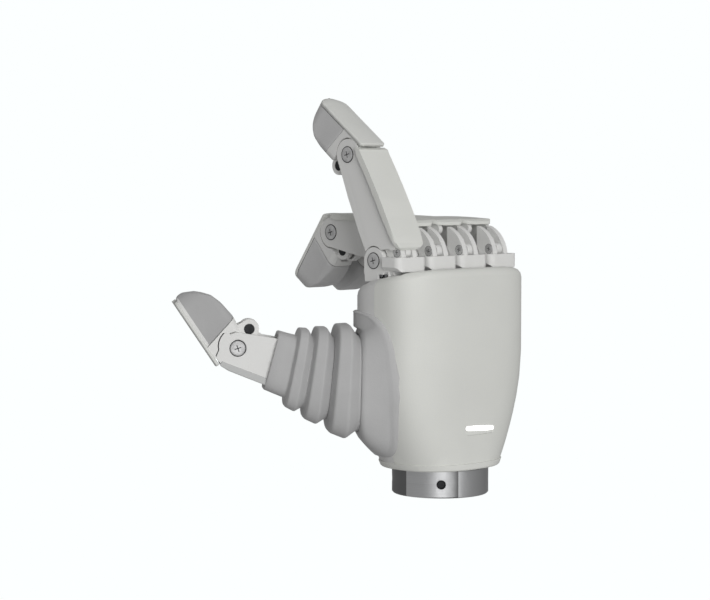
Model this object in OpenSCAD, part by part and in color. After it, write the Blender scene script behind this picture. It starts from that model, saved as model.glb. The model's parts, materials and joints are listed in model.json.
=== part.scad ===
/* Dexterous robot hand: a right hand with four coupled fingers and a booted thumb.
   Frame: origin at the centre of the wrist face, +Z to the fingers, +Y to the palm,
   -Y to the back of the hand, -X to the thumb. Lengths in millimetres. */

/* [Palm housing] */
// Half width of the housing across the knuckles
palm_half_w = 41.5; // [40:0.5:46]
// Half depth of the housing from back to palm
palm_half_d = 23; // [22:0.5:26]
// Height of the housing's top at its middle
palm_top_z = 99; // [97:0.5:102]
// Fall of the top toward the palm, in degrees
palm_top_slope = 12.4; // [8:0.2:14]
// Wall thickness of the housing shells
wall = 2.2; // [1.6:0.1:3]
// Rounding of the housing's top edge
top_fillet = 5; // [3:0.5:7]
// Gap between the two shells along the side
seam_gap = 0.15; // [0.1:0.05:0.4]

/* [Wrist] */
// Radius of the wrist flange
flange_r = 22; // [20:0.5:23]
// Length of the wrist flange
flange_h = 12.5; // [10:0.5:16]
// Radius of the cable bore through the flange
flange_bore_r = 8; // [5:0.5:10]
// Radius of the clamp-screw holes round the flange
clamp_hole_r = 2.1; // [1.5:0.1:2.6]
// Radius of the bolt holes in the flange face
face_hole_r = 1.65; // [1.2:0.05:2]
// Radius of the circle that the face bolts lie on
face_circle_r = 14.5; // [13:0.5:16]
// Height of the ring between flange and housing
ring_h = 3; // [2:0.5:4]

/* [Fingers] */
// Distance between neighbouring fingers
finger_pitch = 20; // [19.5:0.25:22]
// Width of a finger
finger_w = 14.6; // [14:0.1:15.2]
// Width of the cover on a finger's first segment
cover_w = 18; // [17.6:0.1:18.2]
// Distance of the knuckle axis in front of the housing's middle plane
mcp_y = 5.5; // [4.5:0.25:6.5]
// Height of the knuckle axis above the housing's top
knuckle_rise = 7.5; // [6.5:0.25:9]
// Length of a finger's first segment between its axes
prox_len = 50; // [46:0.5:56]
// Length of a fingertip from its axis to its end
tip_len = 31.3; // [30:0.1:34]
// Bend of the index finger as modelled
index_flex = 19.5; // [10:0.5:60]
// Bend of the middle finger as modelled
middle_flex = 77; // [20:0.5:80]
// Bend of the ring finger as modelled
ring_flex = 78.5; // [20:0.5:80]
// Bend of the little finger as modelled
little_flex = 80; // [20:0.5:80]

/* [Coupled linkage] */
// Distance of the coupler's root axis behind the knuckle axis
root_back = 12; // [11.5:0.1:12.2]
// Height of the coupler's root axis above the knuckle axis
root_up = 4; // [3.6:0.1:4.4]
// Distance of the horn axis along the fingertip
horn_along = 4; // [3:0.1:5]
// Distance of the horn axis to the palm side of the tip's axis
horn_out = 9; // [8.5:0.1:9.4]
// Fingertip bend at the reference bend of the finger
tip_ref_flex = 34; // [30:0.5:38]
// Degrees that the tip bends for each degree of the finger
tip_ratio = 0.58; // [0.5:0.01:0.65]
// Width of the coupler rod in its plane
rod_w = 4; // [3:0.1:4.6]
// Thickness of the coupler rod across the finger
rod_t = 3.2; // [2.6:0.1:3.4]

/* [Pins and screws] */
// Radius of the knuckle and middle-joint pins
pin_r = 2; // [1.6:0.05:2.3]
// Radius of the pin heads
head_r = 3.6; // [3.2:0.1:4]
// Radius of the coupler's pins
rod_pin_r = 0.9; // [0.7:0.05:1.1]
// Radius of the coupler pin heads
rod_head_r = 2.3; // [2:0.1:2.5]
// Radial clearance of a running pin
run = 0.05; // [0.03:0.01:0.08]
// Side clearance between moving plates
side_gap = 0.35; // [0.3:0.05:0.45]

/* [Thumb] */
// Place of the thumb's swing axis across the palm, to the thumb side
thumb_x = 33; // [32:0.25:34]
// Distance of the thumb's swing axis toward the palm
thumb_y = 12; // [11:0.25:13]
// Height of the thumb's root
thumb_z = 52; // [50:0.5:55]
// Heading of the thumb, in degrees from the +X side
thumb_heading = 143; // [135:0.5:150]
// Distance from the swing axis to the bend axis
thumb_reach = 16; // [15:0.25:17]
// Rise of the thumb's link above the horizontal, in degrees
thumb_rise = 19.5; // [16:0.5:22]
// Length of the thumb's link between its axes
thumb_len = 46.6; // [44:0.2:52]
// Bend of the thumb's tip as modelled
thumb_tip_flex = 37; // [25:0.5:45]
// Length of the thumb's tip from its axis to its end
thumb_tip_len = 33.8; // [31:0.2:38]

/* [Thumb boot] */
// Half height of the boot at its root
boot_half_h = 21.3; // [20:0.1:22]
// Half width of the boot at its root
boot_half_w = 18; // [17:0.1:19]
// Length of the boot's first ring
boot_ring_len = 12.4; // [11:0.2:13]
// Shrink of each ring's length and bulge from the one before
boot_shrink = 0.79; // [0.74:0.01:0.84]
// Bulge of the first ring over its creases
boot_bulge = 5.4; // [4:0.1:6]
// Wall thickness of the boot
boot_wall = 1.8; // [1.2:0.1:2.2]
// Thickness of the rubber socket on the housing
socket_t = 2.5; // [1.5:0.1:3]

/* [Light bar] */
// Length of the status light
light_w = 18; // [12:0.5:22]
// Height of the status light
light_h = 2.6; // [2:0.1:4]
// Height of the status light above the wrist face
light_z = 29.5; // [26:0.5:34]
// Place of the status light across the back
light_x = 2; // [-4:0.5:6]

/* [Hidden] */
FINGERS = ["index", "middle", "ring", "little"];
FINGER_PARTS = ["knuckle", "knuckle_pins", "proximal", "proximal_cover", "coupler",
                "distal", "nail", "pad", "tip_pins"];
PALM_PARTS = ["back_shell", "palm_shell", "wrist_flange", "wrist_ring", "status_light",
              "chassis", "spread_pins", "control_board", "finger_actuators", "case_screws",
              "thumb_socket", "thumb_swing_pin"];
THUMB_PARTS = ["thumb_yoke", "thumb_yoke_pins", "thumb_link",
               "thumb_boot_base", "thumb_boot_tip", "thumb_coupler", "thumb_distal",
               "thumb_nail", "thumb_pad", "thumb_tip_pins"];
$fn = 48;

// Colours
shell_col = [0.86, 0.86, 0.84];
frame_col = [0.80, 0.80, 0.79];
rubber_col = [0.62, 0.62, 0.62];
metal_col = [0.74, 0.74, 0.75];
dark_col = [0.30, 0.30, 0.31];
board_col = [0.12, 0.32, 0.22];

// Finger layout and the layers across a finger, as distances from its middle
mcp_z = palm_top_z + knuckle_rise;
finger_x = [for (i = [0:3]) (i - 1.5) * finger_pitch];
finger_flex = [index_flex, middle_flex, ring_flex, little_flex];
side_out = finger_w / 2;
plate_t = 2.35;
side_in = side_out - plate_t;
tongue_out = side_in - side_gap;
tongue_in = rod_t / 2 + 0.6;
fin_in = rod_t / 2 + side_gap;
fin_out = side_in - 0.1;
slot_half = rod_t / 2 + 0.6;

// Knuckle: radii about the knuckle axis
ear_r = 6;
ear_gap = 0.6;
fin_r = 15.1;
fin_front = 4.6;
knuckle_half_w = 9.1;
knuckle_front = 17.5;
knuckle_palm = 6.5;
step_up = 1.8;
step_down = 4.6;
shelf_down = 5;
spread_drop = 12;
hub_r = 4.5;
hub_mid = -5;
hub_half = 7;

// First segment: cover and plate lines behind the finger's axis
cover_t = 2;
cover_low = knuckle_front;
cover_slope = 0.094;
cover_curve = 0.00155;
cover_start = -0.2;
cover_half = cover_w / 2;
cover_wall_depth = 3;
cover_corner_r = 5;
cover_foot = 2;
wall_from = 12;
cover_steps = [for (k = [0:9]) cover_foot + (prox_len - 3 - cover_foot) * k / 9];
web_steps = [for (u = cover_steps) if (u > wall_from && u < prox_len - 7) u];
pip_r = 7;

// Fingertip
nail_t = 1.3;
nail_half_w = side_out + 0.3;
tip_back = 11;
tip_shift = 3.2;
finger_tip = [tip_len, tip_shift, -3.8];
thumb_tip = [thumb_tip_len, 0, -2.5];
arch_r = pip_r + 0.6;
pad_seam_back = 8.4;
pad_seam_front = 12.6;
tip_belly = 6.2;
horn_r = 4.3;
eye_hole_r = rod_pin_r + 2.6;
eye_wall = 1;
rod_root_r = 2.6;
eye_r = eye_hole_r + eye_wall;

// Coupled linkage: the tip follows in a fixed ratio, and so does the rod
ref_flex = 19.5;
root = [-root_back, root_up];
function turn(v, a) = [v[0] * cos(a) + v[1] * sin(a), v[1] * cos(a) - v[0] * sin(a)];
function tip_flex(flex) = tip_ref_flex + tip_ratio * (flex - ref_flex);
function horn_from_root(flex) =
    turn([0, prox_len], flex) + turn([horn_out, horn_along], flex + tip_flex(flex)) - root;
function rod_true_angle(flex) = atan2(horn_from_root(flex)[0], horn_from_root(flex)[1]);
flex_low = 16;
flex_high = 72;
rod_ratio = (rod_true_angle(flex_high) - rod_true_angle(flex_low)) / (flex_high - flex_low);
function rod_angle(flex) = rod_true_angle(flex_low) + rod_ratio * (flex - flex_low);
rod_spans = [for (f = [6:4:82]) norm(horn_from_root(f))];
rod_len = (min(rod_spans) + max(rod_spans)) / 2;

// Housing outline
top_fall = tan(palm_top_slope);
split_y = 1;
neck_half_w = 27;
flare_end = 64;
housing_z0 = flange_h + ring_h;
bluntness_low = 2.4;
bluntness_high = 3.3;
ring_points = 64;
function flare(z) = let (t = min(1, max(0, (z - flange_h) / (flare_end - flange_h)))) 1 - pow(1 - t, 1.8);
function half_w(z) = neck_half_w + (palm_half_w - neck_half_w) * flare(z);
function bluntness(z) = bluntness_low + (bluntness_high - bluntness_low) * flare(z);
function signed_pow(v, e) = sign(v) * pow(abs(v), e);
function superellipse(a, b, n, count) =
    [for (k = [0:count - 1]) let (t = 360 * (k + 0.5) / count)
        [a * signed_pow(cos(t), 2 / n), b * signed_pow(sin(t), 2 / n)]];
function level_ring(z, grow, count) =
    [for (p = superellipse(half_w(z) + grow, palm_half_d + grow, bluntness(z), count)) [p[0], p[1], z]];
function sloped_ring(z, grow, count) =
    [for (p = superellipse(palm_half_w + grow, palm_half_d + grow, bluntness_high, count))
        [p[0], p[1], z - top_fall * p[1]]];
function face_y(x, z) = palm_half_d * pow(1 - pow(abs(x) / half_w(z), bluntness(z)), 1 / bluntness(z));
low_levels = [housing_z0, 18, 21, 25, 30, 36, 43, 52, 64];
function housing_rings(grow, count) = concat(
    [for (z = low_levels) level_ring(z, grow, count)],
    [sloped_ring(palm_top_z - top_fillet, grow, count)],
    [for (a = [22.5:22.5:90])
        sloped_ring(palm_top_z + grow + top_fillet * (sin(a) - 1), grow - top_fillet * (1 - cos(a)), count)]);

// Knuckle well in the housing's top
well_half_w = 1.5 * finger_pitch + 8.2;
well_back = mcp_y - knuckle_front - 0.9;
well_palm = mcp_y + knuckle_palm + 0.6;
well_floor = mcp_z - spread_drop - hub_r - 0.5;

// Frame and works inside the housing
beam_top = well_floor - 0.4;
beam_h = 7;
spread_z = mcp_z - spread_drop;
spread_y = mcp_y + hub_mid;
lug_y = hub_half + side_gap;
lug_t = 3;
lug_r = hub_r - 0.3;
spine_back = -8;
board_back = 4.8 - palm_half_d;
board_t = 1.6;
board_spots = [for (x = [-6, 6], z = [40, 76]) [x, z]];
actuator_spots = [for (x = [16, 28], y = [-6.5, 6.5]) [x, y]];
actuator_len = 34;
case_screw_places = [for (p = [[20, 34], [24, 78], [-6, 24]]) [p[0], face_y(p[0], p[1]), p[1]]];

// Thumb layout
thumb_root = [-thumb_x, thumb_y, thumb_z];
thumb_bend_up = 0.5;
yoke_hub_r = 5.5;
yoke_half_h = 12;
yoke_in = side_out + side_gap;
yoke_out = yoke_in + 2.4;
link_root_r = 7;
boot_start = -0.5;
crease_0 = 6.6;
crease_1 = crease_0 + boot_ring_len;
crease_2 = crease_1 + boot_ring_len * boot_shrink;
crease_3 = crease_2 + boot_ring_len * pow(boot_shrink, 2);
boot_end = crease_3 + 8.5;
cuff_root_h = 13.8;
cuff_root_w = 11.3;
cuff_end_h = 13;
cuff_end_w = 10;
link_half_h = 9.8;
boot_points = 40;
boot_gap = 0.4;
thumb_root_axis = [-9, 2];
boot_bluntness = 3.6;
patch_half_h = 33;
patch_back_w = 23.2;
patch_palm_w = 20.5;
patch_taper = 0.42;
patch_drop = 1;
skirt_start = -16;
socket_levels = [14, 21, 30, 43, 64, 88];
// Skirt rings, each [along, half height, width to the back, width to the palm, taper]
socket_skirt = [[skirt_start, 32, 21.6, 20.6, 0.38], [-4, 31.5, 21.2, 20.4, 0.34], [1, 29.5, 20.4, 20.1, 0.16],
    [4, 25.5, 19.7, 19.7, 0.05], [5.6, 23, 19.2, 19.2, 0.02],
    [crease_0 - 0.4, boot_half_h + 0.9, boot_half_w + 0.9, boot_half_w + 0.9, 0]];
thumb_fin = [-thumb_reach, thumb_bend_up] + turn(thumb_root_axis, thumb_rise - 90);
thumb_rod_vec = [0, thumb_len] + turn([horn_out, horn_along], thumb_tip_flex) - thumb_root_axis;
thumb_rod_angle = atan2(thumb_rod_vec[0], thumb_rod_vec[1]);
thumb_rod_len = norm(thumb_rod_vec);

// ---- shared shapes ----

module loft(rings) {
    n = len(rings[0]);
    last = len(rings) - 1;
    sides = [for (k = [0:last - 1]) for (j = [0:n - 1]) let (m = (j + 1) % n)
        [k * n + j, (k + 1) * n + j, (k + 1) * n + m, k * n + m]];
    polyhedron([for (r = rings) each r],
        concat([[for (j = [0:n - 1]) j]], sides, [[for (j = [n - 1:-1:0]) last * n + j]]));
}

// Plate across the finger, its outline drawn as [palm side, along]
module plate(x0, x1) {
    translate([x0, 0, 0]) rotate([90, 0, 90]) linear_extrude(x1 - x0) children();
}

module both_sides() {
    children();
    mirror([1, 0, 0]) children();
}

module cross_pin(r, x0, x1) {
    translate([x0, 0, 0]) rotate([0, 90, 0]) cylinder(r = r, h = x1 - x0);
}

module place(v) {
    translate([0, v[0], v[1]]) children();
}

module rounded_rect(w, d, r) {
    square([w - 2 * r, d], center = true);
    square([w, d - 2 * r], center = true);
    for (x = [-1, 1], y = [-1, 1]) translate([x * (w / 2 - r), y * (d / 2 - r)]) circle(r);
}

// ---- poses ----

module at_knuckle(i) {
    translate([finger_x[i], mcp_y, mcp_z]) children();
}

module at_proximal(i) {
    at_knuckle(i) rotate([-finger_flex[i], 0, 0]) children();
}

module at_coupler(i) {
    at_knuckle(i) place(root) rotate([-rod_angle(finger_flex[i]), 0, 0]) children();
}

module at_distal(i) {
    at_proximal(i) translate([0, 0, prox_len]) rotate([-tip_flex(finger_flex[i]), 0, 0]) children();
}

module at_thumb() {
    translate(thumb_root) rotate([0, 0, thumb_heading + 90]) children();
}

module at_thumb_link() {
    at_thumb() translate([0, -thumb_reach, thumb_bend_up]) rotate([90 - thumb_rise, 0, 0]) children();
}

module at_thumb_distal() {
    at_thumb_link() translate([0, 0, thumb_len]) rotate([-thumb_tip_flex, 0, 0]) children();
}

module at_boot() {
    translate(thumb_root) rotate([0, 0, thumb_heading]) rotate([0, 90, 0]) children();
}

// ---- palm ----

module housing_solid() {
    loft(housing_rings(0, ring_points));
}

module housing_cavity() {
    loft(concat(
        [for (z = [housing_z0 + wall, 25, 36, 52]) level_ring(z, -wall, ring_points / 2)],
        [sloped_ring(palm_top_z - wall, -wall, ring_points / 2)]));
}

module knuckle_well() {
    translate([0, (well_back + well_palm) / 2, well_floor])
        linear_extrude(30) rounded_rect(2 * well_half_w, well_palm - well_back, 4);
}

module half_space(side) {
    translate([-60, side > 0 ? split_y + seam_gap / 2 : split_y - seam_gap / 2 - 60, 0]) cube([120, 60, 130]);
}

module thumb_opening(grow) {
    at_boot() loft([for (s = [-9, 14]) boot_ring(s, boot_half_h + grow, boot_half_w + grow)]);
}

module wrist_port() {
    translate([0, 0, flange_h - 1]) cylinder(r = flange_bore_r + 4, h = ring_h + wall + 2);
}

module light_window(grow) {
    translate([light_x, -palm_half_d, light_z]) rotate([90, 0, 0])
        translate([0, 0, -8]) linear_extrude(16) rounded_rect(light_w + 2 * grow, light_h + 2 * grow, 1.2);
}

module back_shell() {
    color(shell_col) difference() {
        intersection() {
            housing_solid();
            half_space(-1);
        }
        housing_cavity();
        knuckle_well();
        wrist_port();
        thumb_opening(boot_gap);
        light_window(0.05);
    }
}

module palm_shell() {
    color(shell_col) difference() {
        intersection() {
            housing_solid();
            half_space(1);
        }
        housing_cavity();
        knuckle_well();
        wrist_port();
        thumb_opening(boot_gap);
        for (p = case_screw_places) translate(p) rotate([-90, 0, 0]) {
            translate([0, 0, -12]) cylinder(r = 1.25, h = 20);
            translate([0, 0, -1.6]) cylinder(r = 2.6, h = 8);
        }
    }
}

module case_screws() {
    color(metal_col) for (p = case_screw_places) translate(p) rotate([-90, 0, 0]) difference() {
        union() {
            translate([0, 0, -8]) cylinder(r = 1.2, h = 7);
            translate([0, 0, -1.6]) cylinder(r = 2.5, h = 1.2);
        }
        translate([0, 0, -1.2]) cylinder(r = 1.2, h = 2, $fn = 6);
    }
}

module wrist_flange() {
    color(metal_col) difference() {
        rotate_extrude() polygon([[flange_bore_r, 0], [flange_r - 0.6, 0], [flange_r, 0.6],
            [flange_r, flange_h - 0.5], [flange_r - 0.5, flange_h], [flange_bore_r, flange_h]]);
        for (a = [45:90:315]) rotate([0, 0, a]) translate([flange_r - 7, 0, flange_h / 2])
            rotate([0, 90, 0]) cylinder(r = clamp_hole_r, h = 10);
        for (a = [0:90:270]) rotate([0, 0, a]) translate([face_circle_r, 0, -1])
            cylinder(r = face_hole_r, h = 8);
    }
}

module wrist_ring() {
    color(shell_col) difference() {
        loft([for (z = [flange_h, flange_h + 0.6, housing_z0 - 0.02])
            [for (p = superellipse(half_w(z) + (z > flange_h ? 0.5 : 0), palm_half_d + (z > flange_h ? 0.5 : 0),
                bluntness(z), ring_points)) [p[0], p[1], z]]]);
        translate([0, 0, flange_h - 1]) cylinder(r = flange_bore_r + 2, h = ring_h + 2);
    }
}

module status_light() {
    color([1, 1, 1]) difference() {
        intersection() {
            loft([for (z = [21, 25, 30, 36]) level_ring(z, -0.1, ring_points)]);
            light_window(0);
        }
        loft([for (z = [21, 25, 30, 36]) level_ring(z, -wall, ring_points / 2)]);
    }
}

// Outline round the thumb's direction, narrower at its lower corner on the back of the hand
function socket_outline(half_h, back_w, palm_w, taper) =
    [for (p = superellipse(half_h, 1, boot_bluntness, boot_points))
        [p[0], p[1] * (p[1] < 0 ? palm_w : back_w * (1 - taper * max(0, p[0]) / half_h))]];

// Skirt of the socket, from its root on the housing to the boot's first crease
module socket_flare() {
    at_boot() loft([for (r = socket_skirt) [for (p = socket_outline(r[1], r[2], r[3], r[4]))
        [p[0] - boot_rise(r[0]), p[1], r[0] + p[0] * tan(boot_tilt(r[0]))]]]);
}

// Rubber pad of even thickness that lies on the housing round the skirt
module socket_patch() {
    intersection() {
        loft([for (z = socket_levels) level_ring(z, socket_t, ring_points / 2)]);
        at_boot() translate([patch_drop, 0, skirt_start]) linear_extrude(40)
            polygon(socket_outline(patch_half_h, patch_back_w, patch_palm_w, patch_taper));
    }
}

module thumb_socket() {
    color(rubber_col) difference() {
        union() {
            socket_flare();
            socket_patch();
        }
        loft([for (z = concat([10], low_levels, [socket_levels[5] + 4])) level_ring(z, 0.05, ring_points)]);
        at_boot() loft([for (s = concat([-20], ring_steps(crease_0, crease_1))) boot_skin(s, boot_gap)]);
    }
}

module chassis() {
    color(dark_col) difference() {
        union() {
            translate([0, 0, housing_z0]) cylinder(r = flange_bore_r + 3.6, h = 6);
            translate([-9, spine_back, housing_z0 + 3]) cube([18, 16, beam_top - housing_z0 - 4]);
            translate([-36, -12, beam_top - beam_h]) cube([72, 24, beam_h]);
            for (i = [0:3], side = [-1, 1]) translate([finger_x[i], 0, 0]) hinge_lug(side);
            translate([-27, -2, thumb_z - yoke_half_h - 4]) cube([20, 9, 2 * yoke_half_h + 8]);
            for (z = [thumb_z - yoke_half_h - side_gap - 3, thumb_z + yoke_half_h + side_gap])
                translate([0, 0, z]) thumb_lug();
            for (p = board_spots) translate([p[0], spine_back + 1, p[1]]) rotate([90, 0, 0])
                cylinder(r = 2, h = spine_back + 1 - board_back - board_t);
        }
        translate([0, 0, housing_z0 - 1]) cylinder(r = flange_bore_r - 3, h = 20);
        for (i = [0:3]) translate([finger_x[i], spread_y, spread_z])
            rotate([90, 0, 0]) cylinder(r = pin_r, h = 40, center = true);
        translate([thumb_root[0], thumb_root[1], thumb_z])
            cylinder(r = pin_r, h = 2 * yoke_half_h + 20, center = true);
        for (p = actuator_spots) translate([p[0], p[1], beam_top - beam_h - 1]) cylinder(r = 2.5, h = beam_h + 2);
    }
}

module hinge_lug(side) {
    translate([0, spread_y + side * (lug_y + lug_t / 2), spread_z]) rotate([90, 0, 0])
        linear_extrude(lug_t, center = true) {
            circle(lug_r);
            translate([-lug_r, beam_top - 1 - spread_z]) square([2 * lug_r, spread_z - beam_top + 1]);
        }
}

module thumb_lug() {
    linear_extrude(3) {
        translate([thumb_root[0], thumb_root[1]]) circle(yoke_hub_r - 0.5);
        translate([thumb_root[0] - 1, -2]) square([12, 9]);
        translate([thumb_root[0] - 1, 0]) square([8, thumb_root[1]]);
    }
}

module spread_pins() {
    color(metal_col) for (x = finger_x) translate([x, spread_y, spread_z]) rotate([90, 0, 0])
        cylinder(r = pin_r, h = 2 * (lug_y + lug_t), center = true);
}

module thumb_swing_pin() {
    color(metal_col) translate(thumb_root) cylinder(r = pin_r, h = 2 * (yoke_half_h + side_gap + 3), center = true);
}

module control_board() {
    color(board_col) difference() {
        translate([-18, board_back, 36]) cube([36, board_t, 44]);
        for (p = board_spots) translate([p[0], board_back - 1, p[1]]) rotate([-90, 0, 0]) cylinder(r = 1.1, h = 4);
    }
}

module finger_actuators() {
    color(metal_col) for (p = actuator_spots) translate([p[0], p[1], beam_top - beam_h]) {
        translate([0, 0, -actuator_len]) cylinder(r = 5, h = actuator_len);
        cylinder(r = 2.4, h = beam_h - 1);
    }
}

// ---- finger, each piece in its own local frame ----

module knuckle_side_profile() {
    polygon([[-knuckle_front, -step_down], [-knuckle_front, step_up], [-ear_r - 1, step_up],
        [-ear_r - 1, -shelf_down], [knuckle_palm, -shelf_down], [knuckle_palm, -shelf_down - 1.6],
        [hub_mid + hub_half, -shelf_down - 1.6], [hub_mid + hub_half, 1 - spread_drop],
        [hub_mid - hub_half, 1 - spread_drop], [hub_mid - hub_half, -step_down]]);
}

module fin_profile() {
    intersection() {
        circle(fin_r, $fn = 96);
        translate([-fin_r - 1, -2]) square([fin_r + 1 - fin_front, fin_r + 2]);
    }
}

module knuckle() {
    color(frame_col) difference() {
        union() {
            intersection() {
                plate(-knuckle_half_w, knuckle_half_w) knuckle_side_profile();
                translate([0, (knuckle_palm - knuckle_front) / 2, -spread_drop]) linear_extrude(20)
                    rounded_rect(2 * knuckle_half_w, knuckle_front + knuckle_palm, 3.2);
                translate([0, 10, 0]) rotate([90, 0, 0]) linear_extrude(40) knuckle_front_profile();
            }
            translate([0, hub_mid + hub_half, -spread_drop]) rotate([90, 0, 0]) cylinder(r = hub_r, h = 2 * hub_half);
            both_sides() {
                plate(side_in, side_out) ear_profile();
                plate(fin_in, fin_out) fin_profile();
            }
        }
        cross_pin(ear_r + ear_gap, -side_in, side_in);
        place(root) cross_pin(rod_w / 2 + 2.2, -slot_half, slot_half);
        translate([-slot_half, -root_back, 0]) cube([2 * slot_half, root_back, 20]);
        both_sides() {
            cross_pin(pin_r, 0, side_out + 1);
            cross_pin(head_r, side_out - 1, side_out + 1);
            place(root) cross_pin(rod_pin_r, 0, fin_out + 1);
            place(root) cross_pin(rod_head_r, fin_out - 0.8, fin_out + 1);
        }
        translate([0, 20, -spread_drop]) rotate([90, 0, 0]) cylinder(r = pin_r + run, h = 40);
    }
}

module knuckle_front_profile() {
    cut = knuckle_half_w - 2;
    polygon([[-cut, -step_down], [-knuckle_half_w, 2 - step_down], [-knuckle_half_w, 6], [knuckle_half_w, 6],
        [knuckle_half_w, 2 - step_down], [cut, -step_down], [hub_r, 1 - spread_drop], [-hub_r, 1 - spread_drop]]);
}

module ear_profile() {
    circle(ear_r);
    translate([-ear_r, -shelf_down - 1]) square([2 * ear_r, shelf_down + 1]);
}

module knuckle_pins() {
    color(metal_col) {
        both_sides() {
            cross_pin(pin_r, tongue_in, side_out - 1);
            cross_pin(head_r, side_out - 1, side_out + 0.2);
            place(root) cross_pin(rod_head_r, fin_out - 0.8, fin_out - 0.05);
        }
        place(root) cross_pin(rod_pin_r, -fin_out + 0.8, fin_out - 0.8);
    }
}

// Line of the cover's outer face, behind the axis, at a place along the finger
function cover_line(u) = -cover_low + cover_slope * u + cover_curve * u * u;
function cover_edge(depth, from = 0) =
    [for (u = cover_steps) if (u >= from) [cover_line(u) + depth, u]];

module proximal_side_profile() {
    difference() {
        union() {
            translate([0, prox_len]) circle(pip_r);
            polygon(concat(cover_edge(cover_t), [[-pip_r + 0.6, prox_len + 2],
                [0, prox_len], [pip_r, prox_len], [6.6, prox_len - 6], [6.2, 0.64 * prox_len], [4.6, 14],
                [3.4, 5.5], [-10.6, 2]]));
            translate([cover_line(cover_foot) + cover_t + 2.4, 3.1]) circle(2.4);
        }
        circle(ear_r + ear_gap);
    }
}

module proximal() {
    color(frame_col) difference() {
        union() {
            both_sides() {
                plate(side_in, side_out) proximal_side_profile();
                plate(tongue_in, tongue_out) {
                    circle(ear_r);
                    translate([-3.6, 0]) square([8.2, 14]);
                }
                plate(tongue_out - 0.1, side_in + 0.1) translate([-3.6, ear_r + ear_gap]) square([8.2, 7.2]);
            }
            plate(-side_in - 0.1, side_in + 0.1)
                polygon([[2.6, 12], [4.4, 12], [6.1, 31], [6.3, 36.5], [4.3, 36.5], [3.6, 31]]);
            plate(-side_in - 0.1, side_in + 0.1)
                polygon(concat([for (u = web_steps) [cover_line(u) + cover_t, u]],
                    [for (k = [len(web_steps) - 1:-1:0]) [cover_line(web_steps[k]) + cover_t + 1.2, web_steps[k]]]));
        }
        translate([-slot_half, 0, 10]) cube([2 * slot_half, 12, 40]);
        both_sides() {
            cross_pin(pin_r + run, 0, side_out + 1);
            translate([0, 0, prox_len]) cross_pin(pin_r + run, 0, side_out + 1);
            translate([0, 0, prox_len]) cross_pin(head_r + 0.1, side_out - 1.1, side_out + 1);
        }
    }
}

module proximal_cover() {
    color(shell_col) difference() {
        intersection() {
            plate(-cover_half, cover_half) cover_profile();
            translate([0, 0, -2]) linear_extrude(prox_len + 6) cover_section();
            translate([0, 10, 0]) rotate([90, 0, 0]) linear_extrude(40) cover_front();
        }
        plate(-side_out - 0.1, side_out + 0.1) cover_hollow();
    }
}

// Side of the cover: a rolled lip at the knuckle and a shallow wall along the segment
module cover_profile() {
    polygon(concat([[2.0 - cover_low, cover_start], [0.8 - cover_low, 0.5], [0.1 - cover_low, 2.6]],
        [for (u = cover_steps) if (u > cover_foot) [cover_line(u), u]],
        [[cover_line(prox_len) - 0.5, prox_len - 1], [cover_line(prox_len) + 1.2, prox_len + 0.6],
            [cover_line(prox_len) + cover_t, prox_len + 0.4]],
        [for (k = [len(cover_steps) - 1:-1:0]) if (cover_steps[k] > wall_from)
            [cover_line(cover_steps[k]) + cover_wall_depth, cover_steps[k]]],
        [[cover_line(cover_foot) + cover_t, 3], [cover_line(cover_foot) + cover_t, cover_start]]));
}

module cover_hollow() {
    polygon(concat([[cover_line(cover_foot) + cover_t, -4]], cover_edge(cover_t),
        [[0.6 - pip_r, prox_len + 2], [0, prox_len + 2], [0, -4]]));
    translate([0, prox_len]) circle(pip_r);
}

// Cover seen from the back, with its rounded lower corners
module cover_front() {
    translate([-cover_half, cover_corner_r + cover_start]) square([cover_w, prox_len + 2]);
    translate([cover_corner_r - cover_half, cover_start]) square([cover_w - 2 * cover_corner_r, prox_len]);
    for (side = [-1, 1]) translate([side * (cover_half - cover_corner_r), cover_corner_r + cover_start])
        circle(cover_corner_r);
}

// Rounded back of the cover, seen along the finger
module cover_section() {
    intersection() {
        translate([0, -2]) rounded_rect(cover_w, 2 * cover_low - 4, 1.6);
        translate([-20, -20]) square([40, 20]);
    }
}

module rod(length, eye) {
    difference() {
        union() {
            plate(-rod_t / 2, rod_t / 2) {
                circle(rod_root_r);
                translate([0, length]) circle(eye);
                translate([-rod_w / 2, 0]) square([rod_w, length]);
            }
        }
        cross_pin(rod_pin_r + run, -rod_t, rod_t);
        translate([0, 0, length]) cross_pin(eye - eye_wall, -rod_t, rod_t);
    }
}

module coupler() {
    color(frame_col) rod(rod_len, eye_r);
}

// Fingertip outline without the nail, as [palm side, along]; tip is [length, shift to the palm, nail start]
module tip_outline(tip) {
    len = tip[0];
    offset(r = 2.5) offset(delta = -2.5) translate([tip[1], 0])
        polygon([[-tip_back, 2], [-tip_back, len - 2.6], [-9.6, len], [-6.5, len], [-1.6, len - 2.8], [0.8, len - 5.2],
            [3.4, len - 8.4], [5.2, len - 13.5], [tip_belly, 13], [5.7, 8.6], [5.4, 6.4], [1.4, 6.2], [-3, 3], [-6, -2]]);
}

module tip_front(tip, half) {
    translate([-half, -6]) square([2 * half, tip[0] - half + 6]);
    translate([0, tip[0] - half]) circle(half);
}

module tip_solid(tip) {
    intersection() {
        plate(-side_out, side_out) tip_outline(tip);
        translate([0, 20, 0]) rotate([90, 0, 0]) linear_extrude(40) tip_front(tip, side_out);
        translate([0, (tip_belly - tip_back) / 2 - 2 + tip[1], -8]) linear_extrude(tip[0] + 12)
            rounded_rect(2 * side_out, tip_belly + tip_back + 4, 3.6);
    }
}

// Region ahead of the slanted seam between frame and pad
module pad_region(shift) {
    plate(-20, 20) polygon([[-20, pad_seam_back - 3 + shift], [20, pad_seam_front + 3 + shift], [20, 60], [-20, 60]]);
}

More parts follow.
